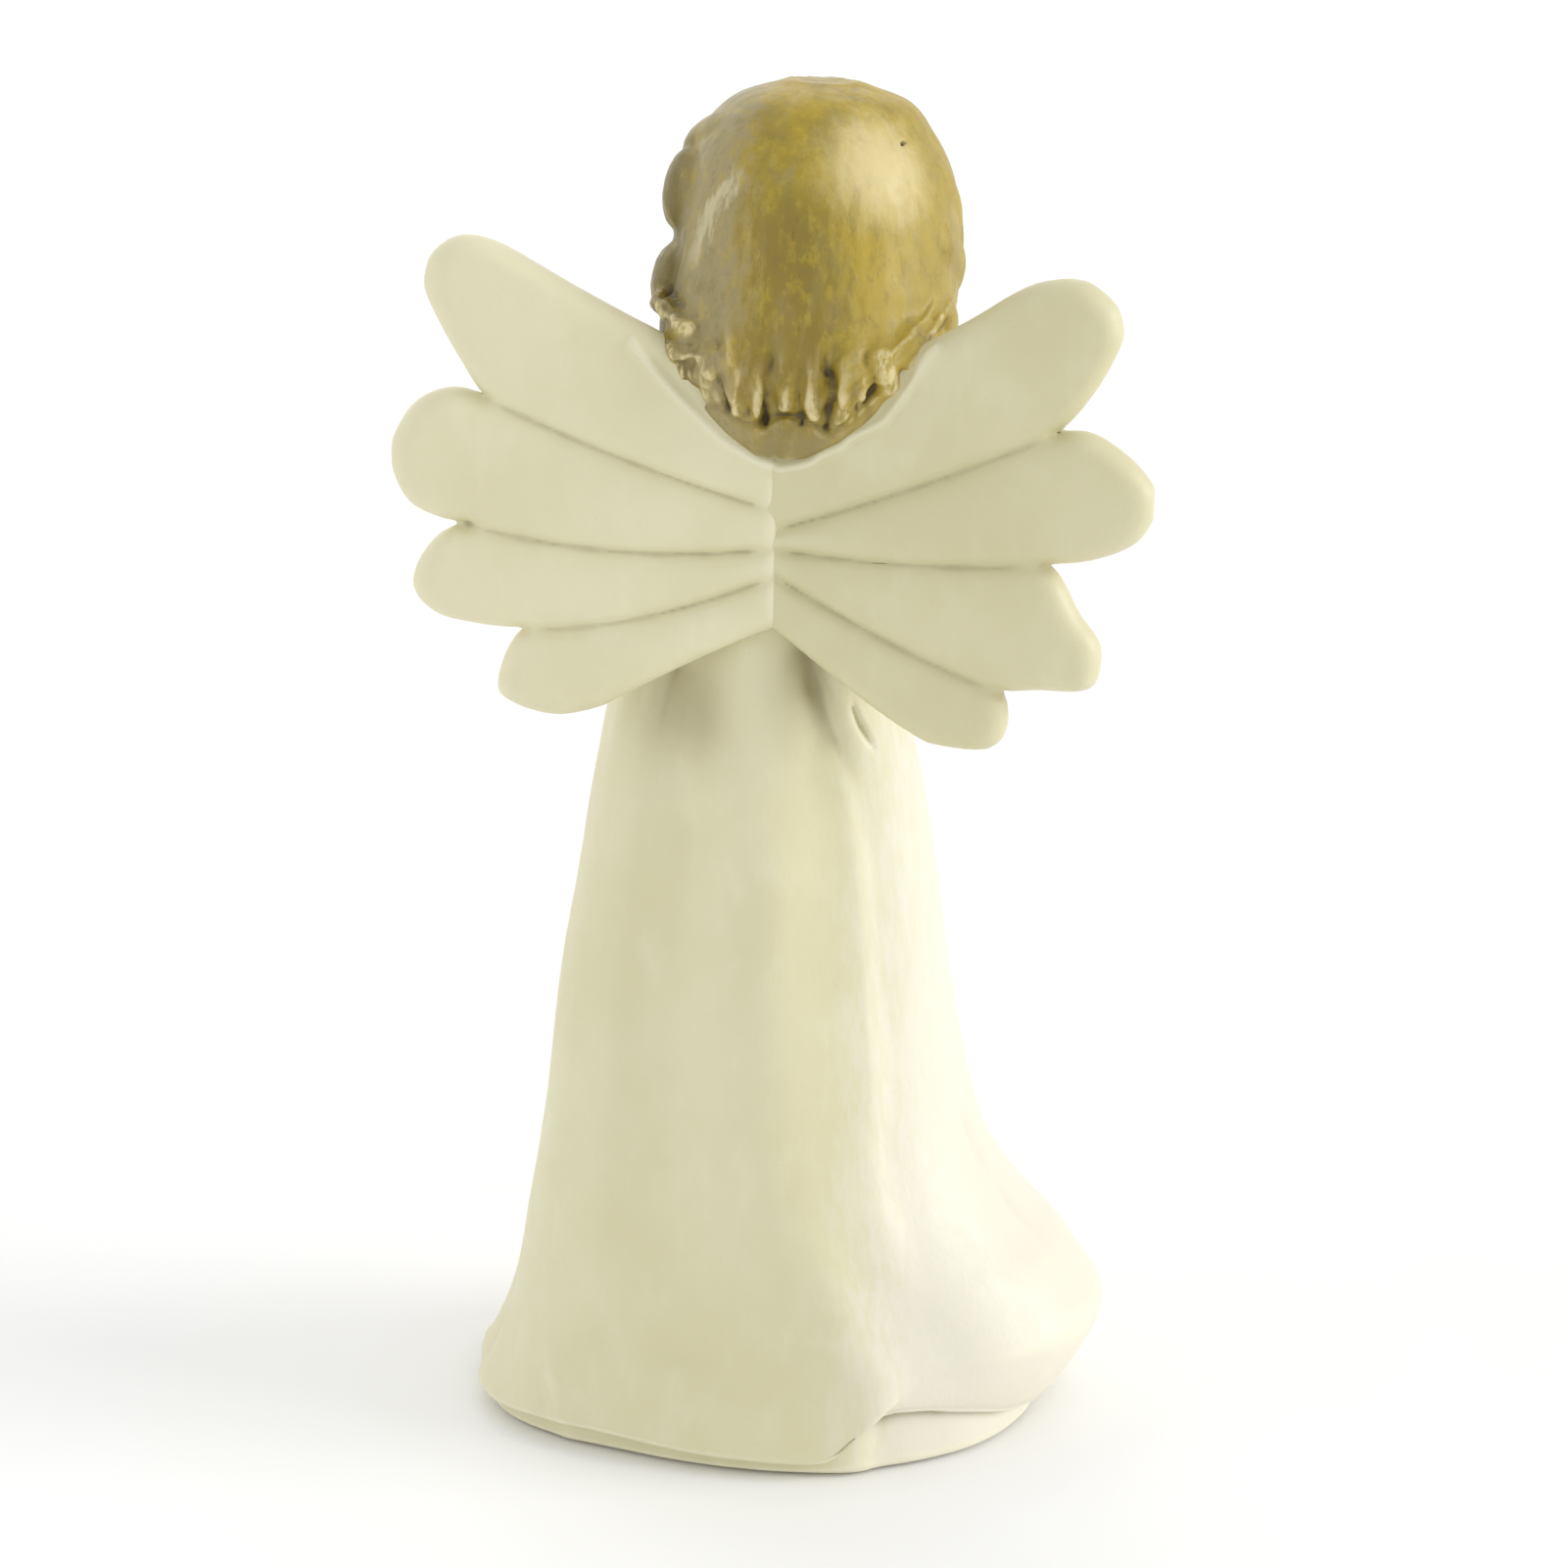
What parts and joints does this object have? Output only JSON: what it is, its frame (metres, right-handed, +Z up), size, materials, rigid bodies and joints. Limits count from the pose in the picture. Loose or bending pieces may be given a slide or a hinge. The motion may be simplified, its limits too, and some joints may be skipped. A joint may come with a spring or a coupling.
{
  "type": "angel figurine",
  "caption": "Standing resin angel in a long flared gown, with curled hair, hands pressed together and two wings of layered paddle-shaped feathers, on a felt base pad.",
  "frame": {"origin": "centre of the felt pad's underside, where the figurine stands", "axes": "+Z up through the figure, the face looks along -Y, the figure's left hand is on +X and the wings are at the back, on +Y"},
  "size_m": [0.0729, 0.0475, 0.1364],
  "materials": {
    "cream_gown": "satin cream paint on cast resin",
    "cream_wings": "satin cream paint on cast resin",
    "painted_hair": "brushed golden-brown paint on cast resin",
    "painted_skin": "matt skin-tone paint on cast resin",
    "bare_resin": "unpainted cast resin",
    "pin_steel": "plain steel wire",
    "felt": "thin felt"
  },
  "bodies": {
    "root": {"gown_shell": "cream_gown", "base_plug": "bare_resin", "felt_pad": "felt", "head": "painted_skin", "hair": "painted_hair", "wing_left": "cream_wings", "wing_right": "cream_wings", "arm_left": "cream_gown", "arm_right": "cream_gown", "hand_left": "painted_skin", "hand_right": "painted_skin", "neck_pin": "pin_steel", "shoulder_pin_left": "pin_steel", "shoulder_pin_right": "pin_steel", "wing_pin_left_upper": "pin_steel", "wing_pin_left_lower": "pin_steel", "wing_pin_right_upper": "pin_steel", "wing_pin_right_lower": "pin_steel"}
  },
  "joints": []
}
